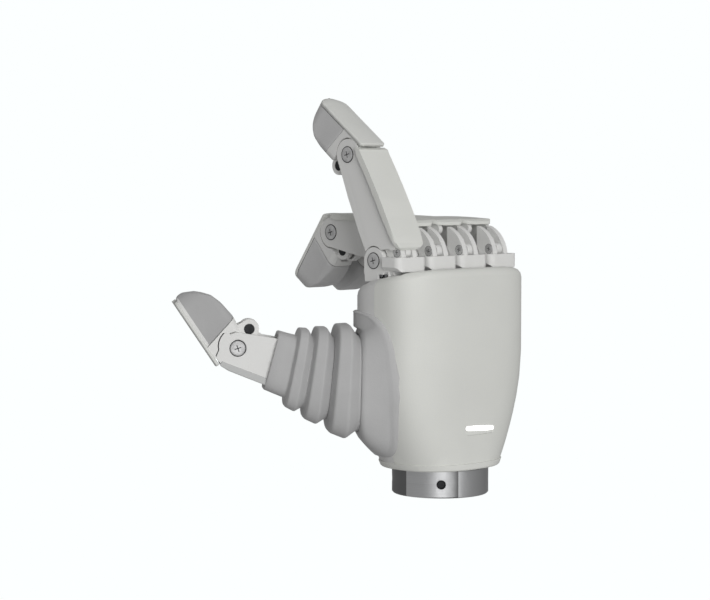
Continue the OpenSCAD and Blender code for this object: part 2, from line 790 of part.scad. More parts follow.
module distal(tip) {
    color(frame_col) difference() {
        union() {
            difference() {
                tip_solid(tip);
                pad_region(0);
                cross_pin(arch_r, -side_out - 1, side_out + 1);
                plate(-side_out - 1, side_out + 1) polygon([[-20, -10], [-20, 1.5], [-arch_r + 1.5, 1.5], [0, -10]]);
                plate(-side_out - 1, side_out + 1) polygon([[0, -10], [3, -10], [arch_r + 3, 1.5], [arch_r - 2, 3]]);
            }
            both_sides() plate(tongue_in, tongue_out) {
                circle(pip_r - 0.4);
                translate([-6, 0]) square([9, 9]);
                translate([horn_out, horn_along]) circle(horn_r);
                polygon([[0, -5.6], [horn_out + 0.6, horn_along - horn_r + 0.1], [horn_out - 1, horn_along + horn_r - 0.2],
                    [3, 9], [0, 5]]);
            }
        }
        translate([-slot_half, -pip_r, -10]) cube([2 * slot_half, 30, 10 + arch_r + 0.6]);
        translate([-slot_half, horn_out - eye_r - 1.2, -10]) cube([2 * slot_half, 20, 12 + horn_along + eye_r]);
        both_sides() {
            cross_pin(pin_r, 0, side_out + 1);
            place([horn_out, horn_along]) cross_pin(rod_pin_r, 0, side_out + 1);
            place([horn_out, horn_along]) cross_pin(rod_head_r - 0.3, tongue_out - 0.6, side_out + 1);
        }
    }
}

module nail(tip) {
    inner = tip[1] - tip_back;
    outer = inner - nail_t;
    color(shell_col) intersection() {
        plate(-nail_half_w, nail_half_w) polygon([[outer + 0.5, tip[2]], [outer, tip[2] + 1.6], [outer, tip[0] - 3],
            [inner - 0.4, tip[0] - 1.2], [inner, tip[0] - 1.6], [inner, tip[2] + 0.6]]);
        translate([0, 20, 0]) rotate([90, 0, 0]) linear_extrude(40) tip_front(tip, nail_half_w);
        translate([0, outer + 12, tip[2] - 1]) linear_extrude(tip[0] - tip[2] + 2)
            rounded_rect(2 * nail_half_w, 24, 2.4);
    }
}

module pad(tip) {
    color(rubber_col) intersection() {
        tip_solid(tip);
        pad_region(0.05);
    }
}

module tip_pins() {
    color(metal_col) {
        both_sides() {
            cross_pin(pin_r, tongue_in, side_out - 1);
            cross_pin(head_r, side_out - 1, side_out + 0.2);
            place([horn_out, horn_along]) cross_pin(rod_head_r - 0.3, tongue_out - 0.6, tongue_out + 0.1);
        }
        place([horn_out, horn_along]) cross_pin(rod_pin_r, -tongue_out + 0.6, tongue_out - 0.6);
    }
}

// ---- thumb ----

function mix(a, b, t) = a + (b - a) * min(1, max(0, t));
function boot_core(s, root, cuff, end) = s < crease_3
    ? mix(root, cuff, (s - crease_0) / (crease_3 - crease_0))
    : mix(cuff, end, (s - crease_3) / (boot_end - crease_3));
function boot_core_h(s) = boot_core(s, boot_half_h, cuff_root_h, cuff_end_h);
function boot_core_w(s) = boot_core(s, boot_half_w, cuff_root_w, cuff_end_w);
function bump(s, from, length) = pow(max(0, sin(180 * (s - from) / length)), 0.75);
function boot_ripple(s) =
    s < crease_0 ? 0 :
    s < crease_1 ? boot_bulge * bump(s, crease_0, crease_1 - crease_0) :
    s < crease_2 ? boot_bulge * boot_shrink * bump(s, crease_1, crease_2 - crease_1) :
    s < crease_3 ? boot_bulge * pow(boot_shrink, 2) * bump(s, crease_2, crease_3 - crease_2) : 0;
function boot_rise(s) = -1.2 + 0.13 * s + 0.0028 * s * s;
function boot_tilt(s) = max(0, 0.36 * s - 1);
function boot_ring(s, hh, hw, bluntness = boot_bluntness) =
    [for (p = superellipse(hh, hw, bluntness, boot_points))
        [p[0] - boot_rise(s), p[1], s + p[0] * tan(boot_tilt(s))]];
function boot_skin(s, grow) =
    boot_ring(s, boot_core_h(s) + boot_ripple(s) + grow, boot_core_w(s) + boot_ripple(s) + grow);
function boot_lining(s) = boot_ring(s, boot_core_h(s) - boot_wall, boot_core_w(s) - boot_wall, 12);
function ring_steps(from, to) = [for (k = [0:6]) from + (to - from) * k / 6];

module thumb_boot_base() {
    color(rubber_col) at_boot() difference() {
        loft([for (s = concat([boot_start], ring_steps(crease_0, crease_1))) boot_skin(s, 0)]);
        loft([for (s = [boot_start - 2, crease_0, crease_1 + 2]) boot_lining(s)]);
    }
}

module thumb_boot_tip() {
    gap = 0.1;
    color(rubber_col) at_boot() difference() {
        loft([for (s = concat([crease_1 + gap], ring_steps(crease_1 + 1.4, crease_2), ring_steps(crease_2 + 1, crease_3),
            [crease_3 + 1.5, boot_end])) boot_skin(s, 0)]);
        loft([for (s = [crease_1 - 2, crease_2, crease_3, boot_end + 2]) boot_lining(s)]);
    }
}

module thumb_yoke() {
    color(frame_col) at_thumb() difference() {
        union() {
            translate([0, 0, -yoke_half_h]) cylinder(r = yoke_hub_r, h = 2 * yoke_half_h);
            translate([-yoke_out, -9.5, -11]) cube([2 * yoke_out, 7, 19]);
            both_sides() plate(fin_in, yoke_in) {
                translate(thumb_fin) circle(2.4);
                translate([thumb_fin[0], -11]) square([-thumb_fin[0] - 5, 3]);
            }
            both_sides() plate(yoke_in, yoke_out) {
                translate([-thumb_reach, thumb_bend_up]) circle(7);
                translate([-thumb_reach, thumb_bend_up - 7]) square([thumb_reach - 4, 14]);
            }
        }
        translate([0, 0, -30]) cylinder(r = pin_r + run, h = 60);
        translate([0, -thumb_reach, thumb_bend_up]) cross_pin(pin_r, -20, 20);
        translate([0, -thumb_reach, thumb_bend_up]) cross_pin(link_root_r + 0.4, -yoke_in, yoke_in);
        place(thumb_fin) cross_pin(rod_pin_r, -20, 20);
    }
}

module thumb_yoke_pins() {
    color(metal_col) at_thumb() {
        translate([0, -thumb_reach, thumb_bend_up]) both_sides() {
            cross_pin(pin_r, tongue_in, yoke_out);
            cross_pin(head_r, yoke_out, yoke_out + 1);
        }
        place(thumb_fin) cross_pin(rod_pin_r, -yoke_in, yoke_in);
    }
}

module thumb_link() {
    color(frame_col) at_thumb_link() difference() {
        union() {
            both_sides() {
                plate(tongue_in, side_out) {
                    circle(link_root_r);
                    translate([-5, 0]) square([10, 20]);
                }
                plate(side_in, side_out) {
                    translate([0, thumb_len]) circle(pip_r);
                    polygon([[-link_half_h, 20], [-link_half_h, 31], [-9, thumb_len - 6], [-pip_r + 0.6, thumb_len + 2],
                        [0, thumb_len], [pip_r, thumb_len], [8.4, thumb_len - 7], [link_half_h, 31], [link_half_h, 20],
                        [5, 12], [-5, 12]]);
                }
            }
            plate(-side_out, side_out)
                polygon([[-link_half_h, 20], [-link_half_h, 31], [-9, thumb_len - 6], [-7.6, thumb_len - 6],
                    [1.8 - link_half_h, 31], [1.8 - link_half_h, 20]]);
        }
        both_sides() {
            cross_pin(pin_r + run, 0, side_out + 1);
            translate([0, 0, thumb_len]) cross_pin(pin_r + run, 0, side_out + 1);
            translate([0, 0, thumb_len]) cross_pin(head_r + 0.1, side_out - 1.1, side_out + 1);
        }
        translate([0, 0, thumb_len]) cross_pin(arch_r, -side_in, side_in);
    }
}

module thumb_coupler() {
    color(frame_col) at_thumb_link() place(thumb_root_axis) rotate([-thumb_rod_angle, 0, 0]) rod(thumb_rod_len, eye_r);
}

// ---- assembly ----

back_shell();
palm_shell();
wrist_flange();
wrist_ring();
status_light();
chassis();
spread_pins();
control_board();
finger_actuators();
case_screws();
thumb_socket();
thumb_swing_pin();
for (i = [0:3]) {
    at_knuckle(i) knuckle();
    at_knuckle(i) knuckle_pins();
    at_proximal(i) proximal();
    at_proximal(i) proximal_cover();
    at_coupler(i) coupler();
    at_distal(i) distal(finger_tip);
    at_distal(i) nail(finger_tip);
    at_distal(i) pad(finger_tip);
    at_distal(i) tip_pins();
}
thumb_yoke();
thumb_yoke_pins();
thumb_link();
thumb_boot_base();
thumb_boot_tip();
thumb_coupler();
at_thumb_distal() distal(thumb_tip);  // thumb_distal
at_thumb_distal() nail(thumb_tip);  // thumb_nail
at_thumb_distal() pad(thumb_tip);  // thumb_pad
at_thumb_distal() tip_pins();  // thumb_tip_pins
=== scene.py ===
import json
import math

import bmesh
import bpy
from mathutils import Matrix, Vector


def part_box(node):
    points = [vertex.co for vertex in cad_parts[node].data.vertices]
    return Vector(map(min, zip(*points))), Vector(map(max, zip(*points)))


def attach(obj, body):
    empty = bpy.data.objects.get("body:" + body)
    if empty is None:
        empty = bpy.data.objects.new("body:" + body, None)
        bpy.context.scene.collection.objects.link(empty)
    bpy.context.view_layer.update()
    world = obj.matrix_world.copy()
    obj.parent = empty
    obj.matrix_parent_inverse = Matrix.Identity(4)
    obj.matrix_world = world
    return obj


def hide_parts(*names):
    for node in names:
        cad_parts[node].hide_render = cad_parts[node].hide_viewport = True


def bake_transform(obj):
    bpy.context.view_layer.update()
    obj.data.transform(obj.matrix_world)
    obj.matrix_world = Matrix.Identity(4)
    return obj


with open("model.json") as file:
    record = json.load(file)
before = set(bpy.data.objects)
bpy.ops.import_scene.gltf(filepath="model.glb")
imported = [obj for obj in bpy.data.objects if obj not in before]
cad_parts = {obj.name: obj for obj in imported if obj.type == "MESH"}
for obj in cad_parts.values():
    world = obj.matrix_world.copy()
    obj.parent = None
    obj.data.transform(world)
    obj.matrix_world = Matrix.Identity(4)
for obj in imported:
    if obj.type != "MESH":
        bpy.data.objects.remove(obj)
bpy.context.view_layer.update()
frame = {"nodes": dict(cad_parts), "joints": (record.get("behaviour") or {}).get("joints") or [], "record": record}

MM = 0.001
FINGERS = ("index", "middle", "ring", "little")
TIPS = FINGERS + ("thumb",)
nodes = frame["nodes"]
joint_at = {j["name"]: Vector(j["pos_m"]) for j in frame["joints"]}

# ---- camera, at the photograph's viewing angle ----

AIM = Vector((-0.0280, 0.0270, 0.0877))
CAMERA_SIDE = Vector((-0.695, -0.719, 0.0)).normalized()
CAMERA_RISE = math.radians(3.5)
CAMERA_REACH = 0.95
VIEW_WIDTH = 0.323
SENSOR_WIDTH, CLIP = 36.0, (0.01, 30.0)

cam_data = bpy.data.cameras.new("camera")
cam = bpy.data.objects.new("camera", cam_data)
bpy.context.scene.collection.objects.link(cam)
back = CAMERA_SIDE * math.cos(CAMERA_RISE) + Vector((0, 0, math.sin(CAMERA_RISE)))
cam.location = AIM + back * CAMERA_REACH
cam.rotation_euler = back.to_track_quat("Z", "Y").to_euler()
cam_data.sensor_width = SENSOR_WIDTH
cam_data.lens = cam_data.sensor_width * CAMERA_REACH / VIEW_WIDTH
cam_data.clip_start, cam_data.clip_end = CLIP
bpy.context.scene.camera = cam
bpy.context.scene.view_settings.view_transform = "Standard"


# ---- materials ----

def srgb(r, g, b):
    """An sRGB colour from 0 to 255 as linear values."""
    out = []
    for c in (r, g, b):
        c /= 255
        out.append(c / 12.92 if c <= 0.04045 else ((c + 0.055) / 1.055) ** 2.4)
    return (*out, 1.0)


def shade(colour, k):
    """A colour made k times as bright."""
    return (*(min(1.0, c * k) for c in colour[:3]), 1.0)


# Part of a noise texture's values that is spread over a material's tones
NOISE_SPAN = (0.3, 0.7)


class Mat:
    """A procedural material: a Principled shader, and nodes joined to it by name."""

    def __init__(self, name):
        self.m = bpy.data.materials.new(name)
        self.m.use_nodes = True
        self.t = self.m.node_tree
        self.bsdf = self.t.nodes["Principled BSDF"]
        self.coord = self.t.nodes.new("ShaderNodeTexCoord").outputs["Object"]

    def put(self, **values):
        for key, value in values.items():
            self.bsdf.inputs[key.replace("_", " ")].default_value = value
        return self

    def node(self, kind, settings=(), **inputs):
        n = self.t.nodes.new("ShaderNode" + kind)
        for key, value in dict(settings).items():
            setattr(n, key, value)
        for key, value in inputs.items():
            self.join(value, n.inputs[key.replace("_", " ")])
        return n

    def join(self, value, socket):
        if isinstance(value, bpy.types.NodeSocket):
            self.t.links.new(value, socket)
        else:
            socket.default_value = value

    def noise(self, scale, detail=2.0, rough=0.5, stretch=None):
        at = self.coord
        if stretch:
            at = self.node("Mapping", Vector=self.coord, Scale=stretch).outputs[0]
        return self.node("TexNoise", Vector=at, Scale=scale, Detail=detail, Roughness=rough).outputs["Fac"]

    def span(self, fac, low, high, start=0.0, end=1.0):
        """low where fac is start, high where it is end, and between them in between."""
        n = self.t.nodes.new("ShaderNodeMapRange")
        n.clamp = True
        values = {"Value": fac, "From Min": start, "From Max": end, "To Min": low, "To Max": high}
        for key, value in values.items():
            self.join(value, n.inputs[key])
        return n.outputs[0]

    def mix(self, fac, a, b):
        n = self.t.nodes.new("ShaderNodeMix")
        n.data_type = "RGBA"
        colours = [s for s in n.inputs if s.type == "RGBA"]
        self.join(fac, n.inputs[0])
        self.join(a, colours[0])
        self.join(b, colours[1])
        return next(s for s in n.outputs if s.type == "RGBA")

    def bump(self, height, depth, under=None):
        n = self.node("Bump", Height=height, Distance=depth, Strength=1.0)
        if under is not None:
            self.join(under, n.inputs["Normal"])
        return n.outputs[0]

    def pointed(self, low, high, start, end):
        """low where the surface's pointiness is start, high where it is end. Flats are 0.5, and edges more."""
        point = self.t.nodes.new("ShaderNodeNewGeometry").outputs["Pointiness"]
        return self.span(point, low, high, start, end)


def moulded(name, colour, rough):
    """Satin moulded plastic: fine spark texture, faint clouding, polish on the edges."""
    m = Mat(name).put(IOR=1.48)
    cloud = m.noise(28.0, 3.0)
    speck = m.noise(1500.0, 1.0)
    tone = m.mix(m.span(cloud, 0.0, 1.0, *NOISE_SPAN), shade(colour, 0.975), shade(colour, 1.02))
    tone = m.mix(m.span(speck, 0.0, 0.06, 0.35, 0.7), tone, shade(colour, 0.85))
    tone = m.mix(m.pointed(0.0, 0.5, 0.53, 0.60), tone, shade(colour, 1.05))
    m.join(tone, m.bsdf.inputs["Base Color"])
    m.join(m.span(m.noise(90.0, 4.0), rough - 0.05, rough + 0.07, *NOISE_SPAN), m.bsdf.inputs["Roughness"])
    fine = m.bump(m.noise(2600.0, 2.0), 0.00005)
    m.join(m.bump(m.noise(60.0, 2.0), 0.00004, fine), m.bsdf.inputs["Normal"])
    return m.m


RUBBER_ROUGH = 0.62


def rubber(name, colour):
    """Soft rubber: fine leather grain, painted shade in the creases, a dry sheen."""
    m = Mat(name).put(IOR=1.45, Sheen_Weight=0.12, Sheen_Roughness=0.5)
    cloud = m.noise(45.0, 4.0)
    tone = m.mix(m.span(cloud, 0.0, 1.0, *NOISE_SPAN), shade(colour, 0.95), shade(colour, 1.05))
    # Painted shade: darker where the surface is hollow, in the creases
    tone = m.mix(m.pointed(0.35, 0.0, 0.40, 0.48), tone, shade(colour, 0.72))
    m.join(tone, m.bsdf.inputs["Base Color"])
    dry = m.span(m.noise(160.0, 4.0), RUBBER_ROUGH - 0.06, RUBBER_ROUGH + 0.08, *NOISE_SPAN)
    m.join(dry, m.bsdf.inputs["Roughness"])
    cells = m.node("TexVoronoi", {"feature": "SMOOTH_F1"}, Vector=m.coord, Scale=1500.0).outputs["Distance"]
    fine = m.bump(cells, 0.00006)
    m.join(m.bump(m.noise(420.0, 3.0), 0.00005, fine), m.bsdf.inputs["Normal"])
    return m.m


# Direction round the wrist axis of the sharp edge of a painted reflection on the flange. The tones beside it are
# placed in
# radians from it: the painted shade before it, and after it the fading painted highlight and the blend to the
# plain metal
REFLECTION_EDGE = math.radians(-114.6)
PAINTED_SHADE_FROM, PAINTED_SHADE_TO, EDGE_BLUR = -0.27, -0.02, 0.004
HIGHLIGHT_FADE_END, HIGHLIGHT_END, HIGHLIGHT_BLEND = 0.8, 1.2, 1.4
PAINTED_SHADE_TONE, PAINTED_HIGHLIGHT_TONE, FADED_HIGHLIGHT_TONE = 0.30, 1.1, 0.62


def turned(name, colour, rough):
    """Turned aluminium: fine rings round the wrist axis, and a painted reflection: painted shade up to an edge
    round the axis, a painted highlight past it.
    """
    m = Mat(name).put(Metallic=1.0, Anisotropic=0.55)
    rings = m.noise(900.0, 3.0, 0.6, (0.02, 0.02, 6.0))
    tone = m.mix(m.span(rings, 0.0, 1.0, *NOISE_SPAN), shade(colour, 0.93), shade(colour, 1.05))
    place = m.node("SeparateXYZ", Vector=m.coord).outputs
    around = m.node("Math", {"operation": "ARCTAN2"}).inputs
    m.join(place["Y"], around[0])
    m.join(place["X"], around[1])
    angle = around[0].node.outputs[0]
    # Painted reflection: before darkens the metal up to the edge as painted shade, and flat is a painted highlight
    # past it that fades to the plain metal
    before = m.span(angle, 0.0, 1.0, REFLECTION_EDGE + PAINTED_SHADE_FROM, REFLECTION_EDGE + PAINTED_SHADE_TO)
    past = m.span(angle, 0.0, 1.0, REFLECTION_EDGE, REFLECTION_EDGE + EDGE_BLUR)
    tone = m.mix(before, tone, shade(colour, PAINTED_SHADE_TONE))
    fade = m.span(angle, 0.0, 1.0, REFLECTION_EDGE, REFLECTION_EDGE + HIGHLIGHT_FADE_END)
    flat = m.mix(fade, shade(colour, PAINTED_HIGHLIGHT_TONE), shade(colour, FADED_HIGHLIGHT_TONE))
    flat = m.mix(m.span(angle, 0.0, 1.0, REFLECTION_EDGE + HIGHLIGHT_END, REFLECTION_EDGE + HIGHLIGHT_BLEND), flat, tone)
    tone = m.mix(past, tone, flat)
    m.join(tone, m.bsdf.inputs["Base Color"])
    m.join(m.span(m.noise(200.0, 4.0), rough - 0.05, rough + 0.08, *NOISE_SPAN), m.bsdf.inputs["Roughness"])
    m.join(m.node("Tangent", {"direction_type": "RADIAL", "axis": "Z"}).outputs[0], m.bsdf.inputs["Tangent"])
    m.join(m.bump(rings, 0.00002), m.bsdf.inputs["Normal"])
    return m.m


def steel(name, colour, rough, metal=1.0):
    """Brushed steel: short random scratches and darker spots."""
    m = Mat(name).put(Metallic=metal)
    fine = m.noise(2200.0, 3.0, 0.6, (1.0, 0.25, 1.0))
    spots = m.noise(350.0, 3.0)
    tone = m.mix(m.span(spots, 0.0, 1.0, 0.35, 0.7), shade(colour, 0.78), shade(colour, 1.05))
    m.join(tone, m.bsdf.inputs["Base Color"])
    m.join(m.span(fine, rough - 0.08, rough + 0.14, *NOISE_SPAN), m.bsdf.inputs["Roughness"])
    m.join(m.bump(fine, 0.00002), m.bsdf.inputs["Normal"])
    return m.m


SHELL = moulded("shell_plastic", srgb(226, 227, 222), 0.46)
PALM = moulded("palm_plastic", srgb(218, 218, 217), 0.5)
FRAME = moulded("frame_plastic", srgb(231, 231, 229), 0.42)
RUBBER = rubber("soft_rubber", srgb(188, 188, 188))
PAD = rubber("pad_rubber", srgb(179, 179, 179))
# A brighter copy of the pad rubber for the fingers: painted light, in place of the light bounced from the floor
# onto the curled fingers
LIT_FINGER_PAD = rubber("lit_finger_pad_rubber", srgb(206, 206, 206))
FLANGE = turned("turned_aluminium", srgb(222, 223, 224), 0.36)
STEEL = steel("pin_steel", srgb(168, 169, 171), 0.32)
DARK = steel("dark_aluminium", srgb(70, 71, 74), 0.45)
SCREW = steel("screw_steel", srgb(224, 224, 224), 0.42, 0.55)
BLACK = steel("black_steel", srgb(60, 61, 63), 0.5, 0.7)
NAIL = moulded("nail_plastic", srgb(224, 225, 221), 0.40)
COVER_GREY = moulded("cover_plastic", srgb(196, 197, 196), 0.45)
BOARD = moulded("circuit_board", srgb(30, 78, 56), 0.35)

GLOW_LEVEL, GLOW_DIM = 2.6, 0.94
glow = Mat("light_window").put(Base_Color=(1, 1, 1, 1), Roughness=0.3, Emission_Color=(1, 1, 1, 1))
haze = glow.span(glow.noise(300.0), GLOW_LEVEL * GLOW_DIM, GLOW_LEVEL)
glow.join(haze, glow.bsdf.inputs["Emission Strength"])
glow.join(glow.bump(glow.noise(900.0), 0.00002), glow.bsdf.inputs["Normal"])
GLOW = glow.m


# ---- mesh helpers ----

def body_of(node):
    """The CAD body that a node moves with."""
    bodies = frame["record"]["behaviour"]["bodies"]
    return next(b for b, names in bodies.items() if node in names)


def link(obj):
    bpy.context.scene.collection.objects.link(obj)
    return obj


def mesh_object(name, verts, faces, material, smooth=True):
    mesh = bpy.data.meshes.new(name)
    mesh.from_pydata([tuple(v) for v in verts], [], faces)
    mesh.materials.append(material)
    for p in mesh.polygons:
        p.use_smooth = smooth
    return link(bpy.data.objects.new(name, mesh))


def loft(name, rings, material, closed_loop=False):
    """Rings of equal length joined into a skin; a closed loop joins the last ring to the first."""
    n = len(rings[0])
    verts = [p for r in rings for p in r]
    faces = []
    last = len(rings) if closed_loop else len(rings) - 1
    for k in range(last):
        a, b = k * n, (k + 1) % len(rings) * n
        for j in range(n):
            m = (j + 1) % n
            faces.append((a + j, a + m, b + m, b + j))
    if not closed_loop:
        faces.append(tuple(range(n))[::-1])
        faces.append(tuple(range(last * n, last * n + n)))
    obj = mesh_object(name, verts, faces, material)
    fix_normals(obj)
    return obj


def fix_normals(obj):
    """Face normals turned to point out of the mesh."""
    bm = bmesh.new()
    bm.from_mesh(obj.data)
    bmesh.ops.recalc_face_normals(bm, faces=bm.faces)
    bm.to_mesh(obj.data)
    bm.free()


def signed_pow(v, e):
    return math.copysign(abs(v) ** e, v)


def superellipse(a, b, blunt, count):
    """Points of an oval with half sizes a and b, squarer the higher blunt is."""
    out = []
    for k in range(count):
        t = 2 * math.pi * (k + 0.5) / count
        out.append((a * signed_pow(math.cos(t), 2 / blunt), b * signed_pow(math.sin(t), 2 / blunt)))
    return out


def apply_modifiers(obj):
    dg = bpy.context.evaluated_depsgraph_get()
    mesh = bpy.data.meshes.new_from_object(obj.evaluated_get(dg))
    old = obj.data
    obj.modifiers.clear()
    obj.data = mesh
    mesh.name = obj.name
    bpy.data.meshes.remove(old)


# ---- carried-over CAD nodes: materials, soft edges ----

WELD_DISTANCE = 0.00001
FLAT_LIMIT, SHARP = math.radians(0.6), math.radians(28)
NORMAL_WEIGHT = 60
# Each node, or each kind of node without its finger's name: its material, and its bevel in millimetres
CAD_LOOK = {
    "back_shell": (SHELL, 0.35), "palm_shell": (PALM, 0.35), "wrist_ring": (SHELL, 0.2),
    "wrist_flange": (FLANGE, 0.15), "status_light": (SHELL, 0.2), "chassis": (DARK, 0.15),
    "spread_pins": (STEEL, 0), "control_board": (BOARD, 0), "finger_actuators": (STEEL, 0.15),
    "case_screws": (STEEL, 0.1), "thumb_swing_pin": (STEEL, 0),
    "knuckle": (FRAME, 0.3), "proximal": (FRAME, 0.3), "proximal_cover": (SHELL, 0.4),
    "coupler": (FRAME, 0.25), "distal": (FRAME, 0.3), "nail": (SHELL, 0.35),
    "thumb_yoke": (DARK, 0.2), "thumb_link": (FRAME, 0.35),
}
for name, obj in nodes.items():
    key = name if name in CAD_LOOK else name.split("_", 1)[1]
    material, width = CAD_LOOK.get(key, (STEEL, 0.1))
    obj.data.materials.clear()
    obj.data.materials.append(material)
    if "custom_normal" in obj.data.attributes:
        obj.data.attributes.remove(obj.data.attributes["custom_normal"])
    for p in obj.data.polygons:
        p.use_smooth = True
    weld = obj.modifiers.new("weld", "WELD")
    weld.merge_threshold = WELD_DISTANCE
    flat = obj.modifiers.new("flat", "DECIMATE")
    flat.decimate_type = "DISSOLVE"
    flat.angle_limit = FLAT_LIMIT
    if width:
        bevel = obj.modifiers.new("bevel", "BEVEL")
        bevel.width = width * MM
        bevel.segments = 2
        bevel.limit_method = "ANGLE"
        bevel.angle_limit = SHARP
        bevel.use_clamp_overlap = True
        bevel.miter_outer = "MITER_ARC"
    normals = obj.modifiers.new("normals", "WEIGHTED_NORMAL")
    normals.keep_sharp = True
    normals.weight = NORMAL_WEIGHT


# ---- thumb frame and boot ----

thumb_root = joint_at["thumb_swing"]
reach = joint_at["thumb_bend"] - thumb_root
thumb_out = Vector((reach.x, reach.y, 0)).normalized()
thumb_side = Vector((-thumb_out.y, thumb_out.x, 0))
UP = Vector((0, 0, 1))
# The boot's half height and half width at the palm, the first fold's length and height, the size of each fold
# beside the one before it, and the wall, in millimetres
BOOT = dict(hh=21.3, hw=18.0, ring=12.4, shrink=0.79, bulge=5.4, wall=1.8)
# Places of the creases along the thumb, from its swing joint
CREASE = [6.6]
for power in range(3):
    CREASE.append(CREASE[-1] + BOOT["ring"] * BOOT["shrink"] ** power)
CUFF_L = 8.5
BOOT_END = CREASE[3] + CUFF_L
# Half height and half width of the cuff at each end, and half height, half width and bluntness of its opening
CUFF_ROOT, CUFF_END, CUFF_HOLE = (13.8, 11.3), (13.0, 10.0), (9.75, 7.25, 12.0)
CUFF_LIP, CUFF_LIP_DEPTH = 0.3, 1.5
BOOT_POINTS = 112
BOOT_BLUNT, LINING_BLUNT = 3.6, 8.0
# Rise of the boot's middle line in millimetres and tilt of its sections in degrees, each as factors of the
# powers of the place along it
BOOT_RISE, BOOT_TILT = (-1.2, 0.13, 0.0028), (-1, 0.36)


def boot_core(s, axis):
    """Half height (axis 0) or half width (axis 1) of the boot without its folds."""
    root = (BOOT["hh"], BOOT["hw"])[axis]
    if s < CREASE[3]:
        t = min(1, max(0, (s - CREASE[0]) / (CREASE[3] - CREASE[0])))
        return root + (CUFF_ROOT[axis] - root) * t
    t = min(1, (s - CREASE[3]) / (BOOT_END - CREASE[3]))
    return CUFF_ROOT[axis] + (CUFF_END[axis] - CUFF_ROOT[axis]) * t


# One fold of the boot, from its crease near the palm: a long slope, a flat band, a steep drop
FOLD = ((0, 0), (0.04, 0.04), (0.36, 0.93), (0.42, 1.0), (0.82, 1.0), (0.88, 0.93), (0.965, 0.12), (1, 0))
FOLD_BLUR = 0.022


def fold_height(t):
    """Height of a fold, as a share of its whole height, at the share t of its length."""
    for a, b in zip(FOLD, FOLD[1:]):
        if t <= b[0]:
            return a[1] + (b[1] - a[1]) * max(0.0, t - a[0]) / (b[0] - a[0])
    return 0.0


def boot_ripple(s):
    """How far the folds stand out at s along the thumb, with their corners blurred."""
    for k in range(3):
        if CREASE[k] <= s < CREASE[k + 1]:
            t = (s - CREASE[k]) / (CREASE[k + 1] - CREASE[k])
            taps = [fold_height(t + FOLD_BLUR * d) for d in (-1, -0.5, 0, 0.5, 1)]
            return BOOT["bulge"] * BOOT["shrink"] ** k * sum(taps) / len(taps)
    return 0.0


def boot_point(s, p):
    """A point of the boot: s along the thumb, p the place in its section, in millimetres."""
    rise = BOOT_RISE[0] + BOOT_RISE[1] * s + BOOT_RISE[2] * s * s
    tilt = math.radians(max(0.0, BOOT_TILT[1] * s + BOOT_TILT[0]))
    along = s + p[0] * math.tan(tilt)
    return thumb_root + (thumb_out * along + UP * (rise - p[0]) + thumb_side * p[1]) * MM


def boot_ring(s, hh, hw, blunt=BOOT_BLUNT):
    return [boot_point(s, p) for p in superellipse(hh, hw, blunt, BOOT_POINTS)]


def boot_skin(s, grow=0.0):
    ripple = boot_ripple(s)
    return boot_ring(s, boot_core(s, 0) + ripple + grow, boot_core(s, 1) + ripple + grow)


def boot_lining(s):
    return boot_ring(s, boot_core(s, 0) - BOOT["wall"], boot_core(s, 1) - BOOT["wall"], LINING_BLUNT)


def steps(a, b, n):
    """The ends and the places between them of n equal steps from a to b."""
    return [a + (b - a) * k / n for k in range(n + 1)]


# Steps in each fold, and one ring of lining for that many of skin
FOLD_STEPS, LINING_EVERY = (44, 40, 36), 4

base_s = [-0.5, 2.0, 4.5] + steps(CREASE[0], CREASE[1], FOLD_STEPS[0])
rings = [boot_skin(s) for s in base_s] + [boot_lining(s) for s in reversed(base_s[::LINING_EVERY])]
boot_base = loft("boot_base", rings, RUBBER, closed_loop=True)
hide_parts("thumb_boot_base")

tip_s = steps(CREASE[1] + 0.05, CREASE[2], FOLD_STEPS[1]) + steps(CREASE[2] + 0.2, CREASE[3], FOLD_STEPS[2])
tip_s += [CREASE[3] + d for d in (0.5, 1.5, 4.5)] + [BOOT_END - 0.4]
rings = [boot_skin(s) for s in tip_s] + [boot_skin(BOOT_END, -CUFF_LIP)]
rings += [boot_ring(s, *CUFF_HOLE) for s in (BOOT_END, BOOT_END - CUFF_LIP_DEPTH)]
rings += [boot_lining(s) for s in reversed(tip_s[::LINING_EVERY])]
boot_tip = loft("boot_tip", rings, RUBBER, closed_loop=True)
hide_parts("thumb_boot_tip")


# ---- socket: the rubber pad on the housing, rising to the boot ----

# The housing's outer skin, with the CAD's own sizes: it widens from the flange up to the flare's end
PALM_HALF_W, PALM_HALF_D, NECK_HALF_W = 41.5, 23.0, 27.0
FLANGE_H, FLARE_END, FLARE_POWER = 12.5, 64.0, 1.8
NECK_BLUNT, PALM_BLUNTER = 2.4, 0.9


def flare(z):
    """How far the housing has widened at the height z, from 0 at the neck to 1."""
    t = min(1, max(0, (z - FLANGE_H) / (FLARE_END - FLANGE_H)))
    return 1 - (1 - t) ** FLARE_POWER


def half_w(z):
    """Half width of the housing at the height z."""
    return NECK_HALF_W + (PALM_HALF_W - NECK_HALF_W) * flare(z)


def bluntness(z):
    """Bluntness of the housing's section at the height z."""
    return NECK_BLUNT + PALM_BLUNTER * flare(z)


def outside(p, grow):
    """Above 0 outside the housing grown by that many millimetres; p is in millimetres."""
    n = bluntness(p.z)
    a = (abs(p.x) / (half_w(p.z) + grow)) ** n + (abs(p.y) / (PALM_HALF_D + grow)) ** n
    return a - 1


FAR_OUT, HALVINGS = 75.0, 40


def on_housing(p, grow):
    """p moved along the thumb's direction to the housing's outside, grown by that much."""
    base = p - thumb_out * p.dot(thumb_out)
    low, high = 0.0, FAR_OUT
    for _ in range(HALVINGS):
        mid = (low + high) / 2
        if outside(base + thumb_out * mid, grow) > 0:
            high = mid
        else:
            low = mid
    return base + thumb_out * low


